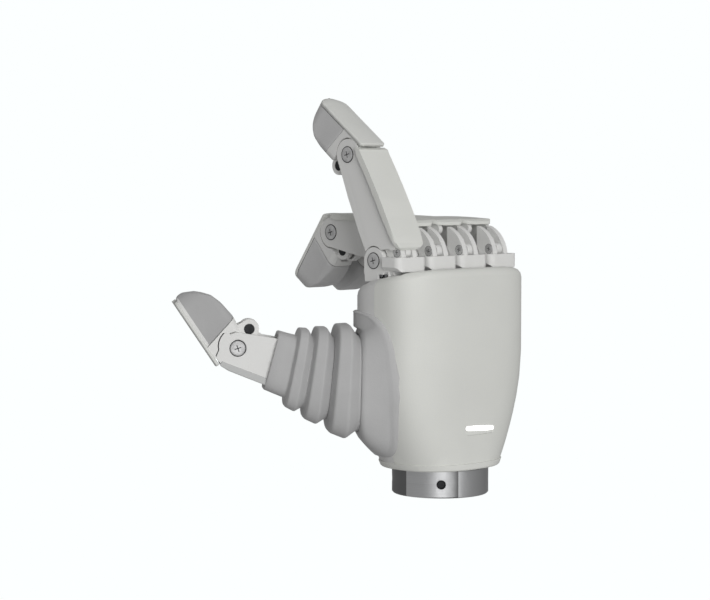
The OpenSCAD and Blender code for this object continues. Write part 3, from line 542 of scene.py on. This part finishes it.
# Outlines, each (half height, width to the back, width to the palm, taper): the patch on the housing, and the
# two that the rise bends towards, with their places along the thumb
PATCH = (33, 23.2, 20.5, 0.42)
PATCH_DROP = 1
KNEE, BROW = (1, (29.5, 20.4, 20.1, 0.16)), (4.4, (25.5, 19.7, 19.7, 0.05))
# Edge of the patch, each ring (drawn in, out of the housing)
PATCH_EDGE = ((0.1, -0.3), (0.0, 0.4), (0.0, 1.1), (0.25, 1.6), (0.8, 1.9))
RISE_STEPS, RISE_CLEAR = 24, 1.7
# Mouth round the boot, each ring (along the thumb, half height, half width)
MOUTH = ((5.4, 23.6, 19.3), (6.0, 22.4, 18.8), (6.25, 21.7, 18.4), (6.0, 21.5, 18.2), (0.5, 21.5, 18.2))


def socket_outline(half_h, back_w, palm_w, taper):
    """Outline round the thumb's direction, narrower at its lower corner on the back of the hand."""
    out = []
    for x, y in superellipse(half_h, 1, BOOT_BLUNT, BOOT_POINTS):
        out.append((x, y * (palm_w if y < 0 else back_w * (1 - taper * max(0.0, x) / half_h))))
    return out


def skirt_ring(s, size):
    return [boot_point(s, p) for p in socket_outline(*size)]


def patch_ring(inset, grow):
    """The patch's outline, drawn in by inset, on the housing grown by that much."""
    half_h, back_w, palm_w, taper = PATCH
    ring = []
    for p in socket_outline(half_h - inset, back_w - inset, palm_w - inset, taper):
        at = thumb_root + (UP * -(p[0] + PATCH_DROP) + thumb_side * p[1]) * MM
        ring.append(on_housing(at / MM, grow) * MM)
    return ring


def lifted(ring, grow):
    """A ring whose points are moved out of the housing's grown skin where they lie inside it."""
    out = []
    for p in ring:
        q = p / MM
        if outside(q, grow) < 0:
            q = on_housing(q, grow)
        out.append(q * MM)
    return out


rings = [patch_ring(inset, grow) for inset, grow in PATCH_EDGE]
bend = list(zip(rings[-1], skirt_ring(*KNEE), skirt_ring(*BROW)))
for u in steps(0, 1, RISE_STEPS)[1:]:
    ring = [a * (1 - u) ** 2 + b * 2 * u * (1 - u) + c * u * u for a, b, c in bend]
    rings.append(lifted(ring, RISE_CLEAR))
rings += [boot_ring(*ring) for ring in MOUTH]
socket = loft("socket", rings, RUBBER)
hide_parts("thumb_socket")
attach(socket, "palm")

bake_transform(boot_base)
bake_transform(boot_tip)


# ---- screws: at each end of a pin a head, with a black ring and a black cross as painted shade for its gap and recess ----

def turned_profile(profile, count):
    """Vertices and faces of a profile of (radius, height) turned round the local z axis, open at its ends."""
    verts, faces = [], []
    for r, z in profile:
        for k in range(count):
            a = 2 * math.pi * k / count
            verts.append(Vector((r * math.cos(a), r * math.sin(a), z)))
    for i in range(len(profile) - 1):
        for k in range(count):
            m = (k + 1) % count
            faces.append((i * count + k, i * count + m, (i + 1) * count + m, (i + 1) * count + k))
    return verts, faces


HEAD_SIDES = 48
PROUD = 0.33
# Head profile, each (radius as a share of the head's, height in mm). The first three points are a black ring
# round it, painted shade for the gap round the head
HEAD = ((1.03, -0.25), (1.03, 0.03), (0.93, 0.03), (0.92, 0.14), (0.86, 0.24), (0.7, 0.28), (0.5, 0.30),
        (0.25, PROUD))
PAINTED_GAP_BANDS = 2
# The cross recess, a black sheet just over the dome as painted shade: half length and half width as shares of
# the head's radius, and its height over the dome in mm
SLOT_L, SLOT_W, SLOT_LIFT = 0.42, 0.055, 0.012


def screw_head(name, place, axis, r, material, body, turn, proud=1.0):
    """A low domed head with a black ring round it and a black cross just over the dome: painted shade for a gap
    and a recess.

    A head that passes close by another piece is flatter: proud is the share of the full height.
    """
    k = r * MM
    verts, faces = turned_profile([(a * k, z * proud * MM) for a, z in HEAD], HEAD_SIDES)
    tip = len(verts)
    verts.append(Vector((0, 0, PROUD * proud * MM)))
    top = (len(HEAD) - 1) * HEAD_SIDES
    for n in range(HEAD_SIDES):
        faces.append((top + n, top + (n + 1) % HEAD_SIDES, tip))
    for v in range(2):
        spin = Matrix.Rotation(turn + v * math.pi / 2, 4, "Z")
        base = len(verts)
        for x, y in ((-1, -1), (1, -1), (1, 1), (-1, 1)):
            verts.append(spin @ Vector((x * SLOT_L * k, y * SLOT_W * k, (PROUD * proud + SLOT_LIFT) * MM)))
        faces.append((base, base + 1, base + 2, base + 3))
    obj = mesh_object(name, verts, faces, material)
    # Black faces of the ring round the head and of the cross: painted shade
    obj.data.materials.append(BLACK)
    for n, face in enumerate(obj.data.polygons):
        if n < PAINTED_GAP_BANDS * HEAD_SIDES or n >= len(faces) - 2:
            face.material_index = 1
            face.use_smooth = False
    turn_to = axis.to_track_quat("Z", "Y").to_matrix().to_4x4()
    obj.data.transform(Matrix.Translation(place) @ turn_to)
    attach(obj, body)


SAME_POINT, SAME_FACE = 0.000005, 0.00002


def islands(mesh):
    """Lists of points, one for each separate solid in a mesh."""
    bm = bmesh.new()
    bm.from_mesh(mesh)
    bmesh.ops.remove_doubles(bm, verts=bm.verts, dist=SAME_POINT)
    bm.verts.ensure_lookup_table()
    seen, out = set(), []
    for v in bm.verts:
        if v.index in seen:
            continue
        stack, group = [v], []
        seen.add(v.index)
        while stack:
            w = stack.pop()
            group.append(w.co.copy())
            for e in w.link_edges:
                o = e.other_vert(w)
                if o.index not in seen:
                    seen.add(o.index)
                    stack.append(o)
        out.append(group)
    bm.free()
    return out


def pin_ends(node, axis):
    """For each end face of a node's pins: its centre, the way it faces and its radius in millimetres."""
    out = []
    for group in islands(nodes[node].data):
        along = [p.dot(axis) for p in group]
        for sign, limit in ((1, max(along)), (-1, min(along))):
            face = [p for p, a in zip(group, along) if abs(a - limit) < SAME_FACE]
            centre = sum(face, Vector()) / len(face)
            out.append((centre, axis * sign, max((p - centre).length for p in face) / MM))
    return out


X_AXIS = Vector((1, 0, 0))


# ---- nails: a crowned shield on the back of each fingertip ----

def middle_of(node):
    low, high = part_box(node)
    return (Vector(low) + Vector(high)) / 2


def tip_axes(f):
    """For a fingertip: across, along to its end, and out of the CAD nail's largest flat."""
    across = thumb_side if f == "thumb" else X_AXIS
    areas = {}
    for face in nodes[f + "_nail"].data.polygons:
        if abs(face.normal.dot(across)) < 0.02:
            key = tuple(round(c, 1) for c in face.normal)
            areas.setdefault(key, [0.0, Vector()])
            areas[key][0] += face.area
            areas[key][1] += face.normal * face.area
    out = max(areas.values(), key=lambda a: a[0])[1].normalized()
    middle = middle_of(f + "_nail")
    if out.dot(middle_of(f + "_pad") - middle) > 0:
        out = -out
    along = across.cross(out)
    if along.dot(middle - middle_of(f + "_tip_pins")) < 0:
        along = -along
    return across, along, out


NAIL_END_R, NAIL_EDGE_R, NAIL_START_R = 6.6, 0.55, 1.0
NAIL_CROWN, NAIL_BLUNT = 0.5, 2.3
# How far the nail reaches past the CAD nail's sides, and its least half width
NAIL_LAP, NAIL_LEAST = 0.15, 0.15
# Rings of the nail: shares of the start's radius, where and in how many steps the straight part goes, and the
# angles of the end's rings. Those run back from near the end, so the skin folds over itself there
START_SHARES, STRAIGHT_FROM, STRAIGHT_STEPS = (0.0, 0.1, 0.3, 0.6, 1.0), 3, 6
END_ANGLES, LAST_RING = range(85, 0, -6), 0.004
# The backing under a finger's nail: which of the nail's rings it follows, how far its sides are drawn in, and
# how far its top lies below the nail's and its underside below the CAD nail's lip
BACK_RINGS, BACK_INSET, BACK_TOP, BACK_LOW = slice(5, 14), 0.5, 0.6, 0.9
# Each fingertip: the nail's depth down to its lip, how far it stands out from the CAD nail, how much longer it
# is at its end and at its start, and how far its end curls down
TIP_FIT = {"thumb": (1.9, 0.4, 0.4, -1.0, 0.0), "index": (2.1, 0.8, 1.2, 0.8, 0.9)}
FINGER_FIT = (2.1, 0.8, 4.4, 0.0, 0.3)
PAD_SHORT = 0.4


def nail_half_width(u, u0, u1, half):
    """Half width at u of a nail from u0 to u1: rounded corners at its start and a round end."""
    if u < u0 + NAIL_START_R:
        return half - NAIL_START_R + math.sqrt(max(0.0, NAIL_START_R ** 2 - (u0 + NAIL_START_R - u) ** 2))
    t = max(0.0, (u - (u1 - NAIL_END_R)) / NAIL_END_R)
    return half * max(0.0, 1 - t ** NAIL_BLUNT) ** (1 / NAIL_BLUNT)


def nail_section(w, top, low):
    """Closed section of the nail: a crowned top, rounded edges and a flat underside, as (across, out)."""
    r = min(NAIL_EDGE_R, 0.5 * w)
    crown = [(v * (w - r), top - NAIL_CROWN * v * v * min(1.0, w / 5)) for v in steps(-1, 1, 20)]
    edge = []
    for a in (75, 50, 25, 0):
        s, c = math.sin(math.radians(a)), math.cos(math.radians(a))
        edge.append((w - r + r * c, crown[-1][1] - r + r * s))
    right = crown + edge + [(w, low)]
    left = [(-x, y) for x, y in reversed(edge + [(w, low)])]
    return left + right


def nail_points(f):
    """Points of a fingertip's CAD nail in millimetres."""
    return [v.co / MM for v in nodes[f + "_nail"].data.vertices]


def reach_of(points, axis):
    """The least and the greatest place of the points along an axis."""
    places = [p.dot(axis) for p in points]
    return min(places), max(places)


def tip_ring(section, axes, x_mid, u):
    """A section of a fingertip, given as (across, out), at the place u along it."""
    across, along, out = axes
    return [(across * (x_mid + x) + along * u + out * y) * MM for x, y in section]


for f in TIPS:
    axes = across, along, out = tip_axes(f)
    points = nail_points(f)
    x_low, x_high = reach_of(points, across)
    x_mid = (x_low + x_high) / 2
    half = x_high - x_mid + NAIL_LAP
    u0, u1 = reach_of(points, along)
    lip, stand, ahead, behind, drop = TIP_FIT.get(f, FINGER_FIT)
    top = reach_of(points, out)[1] + stand
    u0, u1 = u0 - behind, u1 + ahead
    us = [u0 + NAIL_START_R * k for k in START_SHARES]
    us += steps(u0 + STRAIGHT_FROM, u1 - NAIL_END_R, STRAIGHT_STEPS)
    us += [u1 - NAIL_END_R * math.cos(math.radians(a)) for a in END_ANGLES] + [u1 - LAST_RING]
    sizes = []
    for u in us:
        w = max(NAIL_LEAST, nail_half_width(u, u0, u1, half))
        sizes.append((u, w, drop * max(0.0, (u - (u1 - NAIL_END_R)) / NAIL_END_R) ** 2))
    rings = [tip_ring(nail_section(w, top - fall, top - lip - fall), axes, x_mid, u) for u, w, fall in sizes]
    nail = loft(f + "_nail_shield", rings, NAIL)
    if f != "thumb":
        rings = []
        for u, w, fall in sizes[BACK_RINGS]:
            section = nail_section(w - BACK_INSET, top - fall - BACK_TOP, top - lip - stand - fall - BACK_LOW)
            rings.append(tip_ring(section, axes, x_mid, u))
        backing = loft(f + "_nail_backing", rings, FRAME)
        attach(backing, body_of(f + "_nail"))
    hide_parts(f + "_nail")
    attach(nail, body_of(f + "_nail"))


# ---- fingertip pads ----

PAD_VOXEL, PAD_ROUNDS = 0.0005, 6


def soft_copy(name, node, material):
    """A CAD node made again as one soft, evenly meshed skin."""
    mesh = nodes[node].data.copy()
    obj = link(bpy.data.objects.new(name, mesh))
    mesh.materials.clear()
    mesh.materials.append(material)
    weld = obj.modifiers.new("weld", "WELD")
    weld.merge_threshold = WELD_DISTANCE
    remesh = obj.modifiers.new("remesh", "REMESH")
    remesh.mode = "VOXEL"
    remesh.voxel_size = PAD_VOXEL
    remesh.use_smooth_shade = True
    smooth = obj.modifiers.new("smooth", "SMOOTH")
    smooth.factor, smooth.iterations = 0.5, PAD_ROUNDS
    apply_modifiers(obj)
    return obj


# Width of the strip of pad under the nail, on the thumb and on a finger, where it is black as painted shade under
# the nail's lip
THUMB_RIM, LIP_SHADE_W = 1.2, 0.3


def stretch(pad, f):
    """The pad made to reach the nail: longer at its end and deeper at its back, its belly and seam kept."""
    _, along, out = tip_axes(f)
    _, stand, ahead, _, _ = TIP_FIT.get(f, FINGER_FIT)
    for axis, more in ((along, ahead - PAD_SHORT), (out, stand)):
        spans = [v.co.dot(axis) for v in pad.data.vertices]
        low, high = min(spans), max(spans)
        for v, place in zip(pad.data.vertices, spans):
            v.co += axis * more * MM * (place - low) / (high - low)


def rim(pad, f):
    """The strip of the pad under the nail: plain frame plastic on the thumb, and on the fingers black, as painted
    shade under the nail's lip.
    """
    _, _, out = tip_axes(f)
    top = reach_of(nail_points(f), out)[1]
    lip, stand = TIP_FIT.get(f, FINGER_FIT)[:2]
    low = top + stand - lip - (THUMB_RIM if f == "thumb" else LIP_SHADE_W)
    bm = bmesh.new()
    bm.from_mesh(pad.data)
    everything = bm.verts[:] + bm.edges[:] + bm.faces[:]
    bmesh.ops.bisect_plane(bm, geom=everything, plane_co=out * low * MM, plane_no=out)
    for face in bm.faces:
        face.material_index = 1 if face.calc_center_median().dot(out) > low * MM else 0
    bm.to_mesh(pad.data)
    bm.free()
    # On the fingers the strip is black: painted shade under the nail's lip
    pad.data.materials.append(FRAME if f == "thumb" else BLACK)


for f in TIPS:
    pad = soft_copy(f + "_soft_pad", f + "_pad", PAD if f == "thumb" else LIT_FINGER_PAD)
    stretch(pad, f)
    rim(pad, f)
    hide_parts(f + "_pad")
    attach(pad, body_of(f + "_pad"))


# Among the tip pins, those with a radius under HORN_R are the horn's, and among the knuckle pins, those under
# KNUCKLE_R are the rod's. Their heads are nearly flush
HORN_R, KNUCKLE_R = 2.8, 3.0
HORN_HEAD_R, FLUSH = 2.3, 0.3
# Turn of the cross recess, and how much further the next head's is turned
TURN, TURN_STEP = 0.9, 0.5
HEADED = [(f + kind, X_AXIS) for f in FINGERS for kind in ("_knuckle_pins", "_tip_pins")]
HEADED.append(("thumb_tip_pins", thumb_side))
for node, axis in HEADED:
    for n, (centre, way, r) in enumerate(pin_ends(node, axis)):
        if r < HORN_R and node.endswith("tip_pins"):
            screw_head(f"{node}_head_{n}", centre, way, HORN_HEAD_R, BLACK, body_of(node), TURN_STEP * n, FLUSH)
        else:
            height = FLUSH if node.endswith("knuckle_pins") and r < KNUCKLE_R else 1.0
            screw_head(f"{node}_head_{n}", centre, way, r, SCREW, body_of(node), TURN + TURN_STEP * n, height)

# Distance of the clamp screws' heads from the wrist axis, and their radius
CLAMP_R, CLAMP_HEAD_R = 20.6, 2.05
for n in range(4):
    angle = math.radians(45 + 90 * n)
    way = Vector((math.cos(angle), math.sin(angle), 0))
    place = (way * CLAMP_R + UP * FLANGE_H / 2) * MM
    screw_head(f"clamp_screw_{n}", place, way, CLAMP_HEAD_R, BLACK, "palm", 0.3)


# ---- cover along the back of the thumb's link ----

BEVEL_LIMIT = math.radians(30)


def bevelled(obj, width, segments):
    """The object with its sharp edges rounded, by a width in millimetres."""
    mod = obj.modifiers.new("bevel", "BEVEL")
    mod.width, mod.segments = width * MM, segments
    mod.limit_method, mod.angle_limit = "ANGLE", BEVEL_LIMIT
    normals = obj.modifiers.new("normals", "WEIGHTED_NORMAL")
    normals.keep_sharp = True
    return obj


def slab(name, outline, across, low, high, material, smooth=True):
    """A plate between two places across, with its outline given as points in space at across 0."""
    n = len(outline)
    verts = [p + across * low * MM for p in outline] + [p + across * high * MM for p in outline]
    faces = [tuple(range(n)), tuple(range(2 * n - 1, n - 1, -1))]
    faces += [(k, (k + 1) % n, n + (k + 1) % n, n + k) for k in range(n)]
    obj = mesh_object(name, verts, faces, material, smooth)
    fix_normals(obj)
    return obj


def thumb_slab(name, outline, low, high, material):
    """A plate along the thumb's link, with its outline as (along the thumb, height) in millimetres."""
    points = [thumb_root + thumb_out * s * MM + UP * (z * MM - thumb_root.z) for s, z in outline]
    return slab(name, points, thumb_side, low, high, material)


# Side outline of the cover: outside first, then back along the link
COVER = ((46.5, 51.0), (57.0, 55.2), (64.3, 58.2), (67.4, 60.2), (67.9, 61.1), (67.0, 62.7), (65.4, 61.9),
         (56.5, 58.4), (45.5, 54.0))
COVER_HALF_W, COVER_BEVEL = 7.75, 0.5
cover = bevelled(thumb_slab("thumb_cover", COVER, -COVER_HALF_W, COVER_HALF_W, COVER_GREY), COVER_BEVEL, 3)
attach(cover, "thumb_arm")

# Side cheeks that carry the link's round end down to the cover: an arc round the tip's pivot, then corners
PIVOT_S, PIVOT_Z, CHEEK_R = 60.7, 69.1, 7.7
CHEEK_ARC = [math.radians(a) for a in (60, 45, 30, 15, 0, -12)]
CHEEK = [(PIVOT_S + CHEEK_R * math.cos(a), PIVOT_Z + CHEEK_R * math.sin(a)) for a in CHEEK_ARC]
CHEEK += [(69.3, 65.0), (69.3, 63.5), (67.4, 61.2), (56.5, 57.2), (54.0, 62.0)]
CHEEK_IN, CHEEK_OUT, CHEEK_BEVEL = 5.9, 7.42, 0.2
# A black plate inside each cheek, painted shade for the gap at the cheek's edge, shows past that edge at these
# corners and is drawn in at the others
SHADE_SHOWN, SHADE_LAP, SHADE_DRAWN_IN, SHADE_SIDE = range(1, 7), 0.4, 0.9, 7.36
CHEEK_SHADE = []
for n, (s, z) in enumerate(CHEEK):
    k = 1 + SHADE_LAP / CHEEK_R if n in SHADE_SHOWN else SHADE_DRAWN_IN
    CHEEK_SHADE.append((PIVOT_S + (s - PIVOT_S) * k, PIVOT_Z + (z - PIVOT_Z) * k))
for n, (low, high) in enumerate(((-CHEEK_OUT, -CHEEK_IN), (CHEEK_IN, CHEEK_OUT))):
    cheek = bevelled(thumb_slab(f"thumb_cheek_{n}", CHEEK, low, high, FRAME), CHEEK_BEVEL, 2)
    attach(cheek, "thumb_arm")
    low, high = max(low, -SHADE_SIDE), min(high, SHADE_SIDE)
    # A black plate whose edge shows round the cheek: painted shade
    seam = thumb_slab(f"thumb_cheek_painted_shade_{n}", CHEEK_SHADE, low, high, BLACK)
    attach(seam, "thumb_arm")


# ---- status light: a slim bar on the housing's back, a little tilted ----

# The CAD's own window has the shell's colour
BAR_X, BAR_Z, BAR_W, BAR_H, BAR_TILT = 2.0, 31.0, 18.4, 2.05, math.tan(math.radians(3.2))
BAR_BLUNT, BAR_POINTS = 4.5, 96
# Rings of the bar, each (out of the housing, drawn in): sides, then a rounded edge and the face
BAR_EDGE = ((-0.5, 0.0), (0.02, 0.0), (0.12, 0.12), (0.14, 0.6))


def back_face(x, z, grow):
    """A point of the housing's outer skin on the back of the hand, grown by that much."""
    n = bluntness(z)
    share = 1 - (abs(x) / (half_w(z) + grow)) ** n
    return Vector((x, -(PALM_HALF_D + grow) * share ** (1 / n), z)) * MM


bar_rings = []
for grow, inset in BAR_EDGE:
    ring = []
    for u, v in superellipse(BAR_W / 2 - inset, BAR_H / 2 - inset, BAR_BLUNT, BAR_POINTS):
        ring.append(back_face(BAR_X + u, BAR_Z + v - u * BAR_TILT, grow))
    bar_rings.append(ring)
bar = loft("light_bar", bar_rings, GLOW)
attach(bar, "palm")


# ---- the index knuckle's bracket, with its cable connector ----

INDEX_FACE = -37.35
# Outlines, each point (y, z)
BRACKET = ((11.0, 106.6), (11.6, 102.2), (11.0, 97.0), (-4.2, 97.4), (-4.2, 103.6), (0.0, 104.6))
HOLE = ((2.7, 98.6), (2.7, 101.3), (-3.4, 101.5), (-3.4, 98.8))
PLUG = ((2.6, 98.7), (2.6, 101.2), (-3.3, 101.4), (-3.3, 98.9))
BRACKET_T, BRACKET_BEVEL = 1.1, 0.25
PLUG_FROM, PLUG_TO, PLUG_BEVEL = 0.8, 2.6, 0.2
PIN_X, PIN_YS, PIN_Z, PIN_R = 0.75, (1.0, -1.7), 100.05, 0.75


def index_slab(name, outline, low, high, material, smooth=True):
    """A plate beside the index knuckle, with its outline as (y, z) in millimetres."""
    points = [Vector((INDEX_FACE, y, z)) * MM for y, z in outline]
    return slab(name, points, X_AXIS, low, high, material, smooth)


plate = index_slab("index_bracket", BRACKET, 0.0, BRACKET_T, FRAME)
hole = index_slab("bracket_hole", HOLE, -1.0, 2.0, BLACK)
cutter = plate.modifiers.new("hole", "BOOLEAN")
cutter.operation, cutter.object, cutter.solver = "DIFFERENCE", hole, "EXACT"
apply_modifiers(plate)
bpy.data.objects.remove(hole)
bevelled(plate, BRACKET_BEVEL, 2)
plug = index_slab("index_connector", PLUG, PLUG_FROM, PLUG_TO, BLACK, False)
bevelled(plug, PLUG_BEVEL, 2)
for n, y in enumerate(PIN_YS):
    place = Vector((INDEX_FACE + PIN_X, y, PIN_Z)) * MM
    screw_head(f"connector_pin_{n}", place, -X_AXIS, PIN_R, STEEL, "index_base", 0.2)
for piece, kind in ((plate, "frame"), (plug, "pin_metal")):
    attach(piece, "index_base")


# ---- studio ----

def area_light(name, place, size, power):
    data = bpy.data.lights.new(name, "AREA")
    data.shape = "RECTANGLE"
    data.size, data.size_y = size
    data.energy = power
    obj = link(bpy.data.objects.new(name, data))
    obj.location = place
    obj.rotation_euler = (Vector(place) - AIM).to_track_quat("Z", "Y").to_euler()
    return obj


# Each light: place, size and power. The key gives no gloss, and the strip gives nothing else
KEY = ((-0.70, -1.40, 0.36), (0.8, 0.8), 14.5)
TOP = ((0.0, 0.1, 1.6), (1.6, 1.6), 2.0)
STRIP = ((-0.75, -1.17, 0.10), (1.4, 1.2), 5.4)
WORLD_LEVEL = 0.30

key = area_light("key", *KEY)
key.visible_glossy = False
area_light("top", *TOP)
strip = area_light("strip", *STRIP)
strip.visible_diffuse = False

world = bpy.data.worlds.new("studio")
bpy.context.scene.world = world
world.use_nodes = True
world.node_tree.nodes["Background"].inputs["Color"].default_value = (1, 1, 1, 1)
world.node_tree.nodes["Background"].inputs["Strength"].default_value = WORLD_LEVEL


FLOOR_COLOUR, BACKDROP_COLOUR = (0.004, 0.004, 0.004, 1), (0, 0, 0, 1)
PAPER_GLOW = (0.975, 1.0, 1.0, 1)
FLOOR_SIZE, FLOOR_DROP, DOME_R = 6.0, 0.0004, 6.5


def stage_material(name, colour):
    """Plain paper that shines by itself, so that it has the same tone all over."""
    m = Mat(name).put(Roughness=1.0, Specular_IOR_Level=0.0, Emission_Color=PAPER_GLOW, Emission_Strength=1.0)
    tone = m.mix(m.span(m.noise(6.0), 0.0, 1.0, *NOISE_SPAN), shade(colour, 0.99), colour)
    m.join(tone, m.bsdf.inputs["Base Color"])
    return m.m


corners = [(x * FLOOR_SIZE, y * FLOOR_SIZE, 0) for x, y in ((-1, -1), (1, -1), (1, 1), (-1, 1))]
floor = mesh_object("floor", corners, [(0, 1, 2, 3)], stage_material("floor_paper", FLOOR_COLOUR), False)
floor.location.z = -FLOOR_DROP
dome_mesh = bpy.data.meshes.new("backdrop")
bm = bmesh.new()
bmesh.ops.create_uvsphere(bm, u_segments=48, v_segments=24, radius=DOME_R)
bm.to_mesh(dome_mesh)
bm.free()
dome_mesh.materials.append(stage_material("backdrop_paper", BACKDROP_COLOUR))
dome = link(bpy.data.objects.new("backdrop", dome_mesh))
dome.visible_diffuse = dome.visible_glossy = dome.visible_shadow = False
floor.visible_diffuse = floor.visible_glossy = False
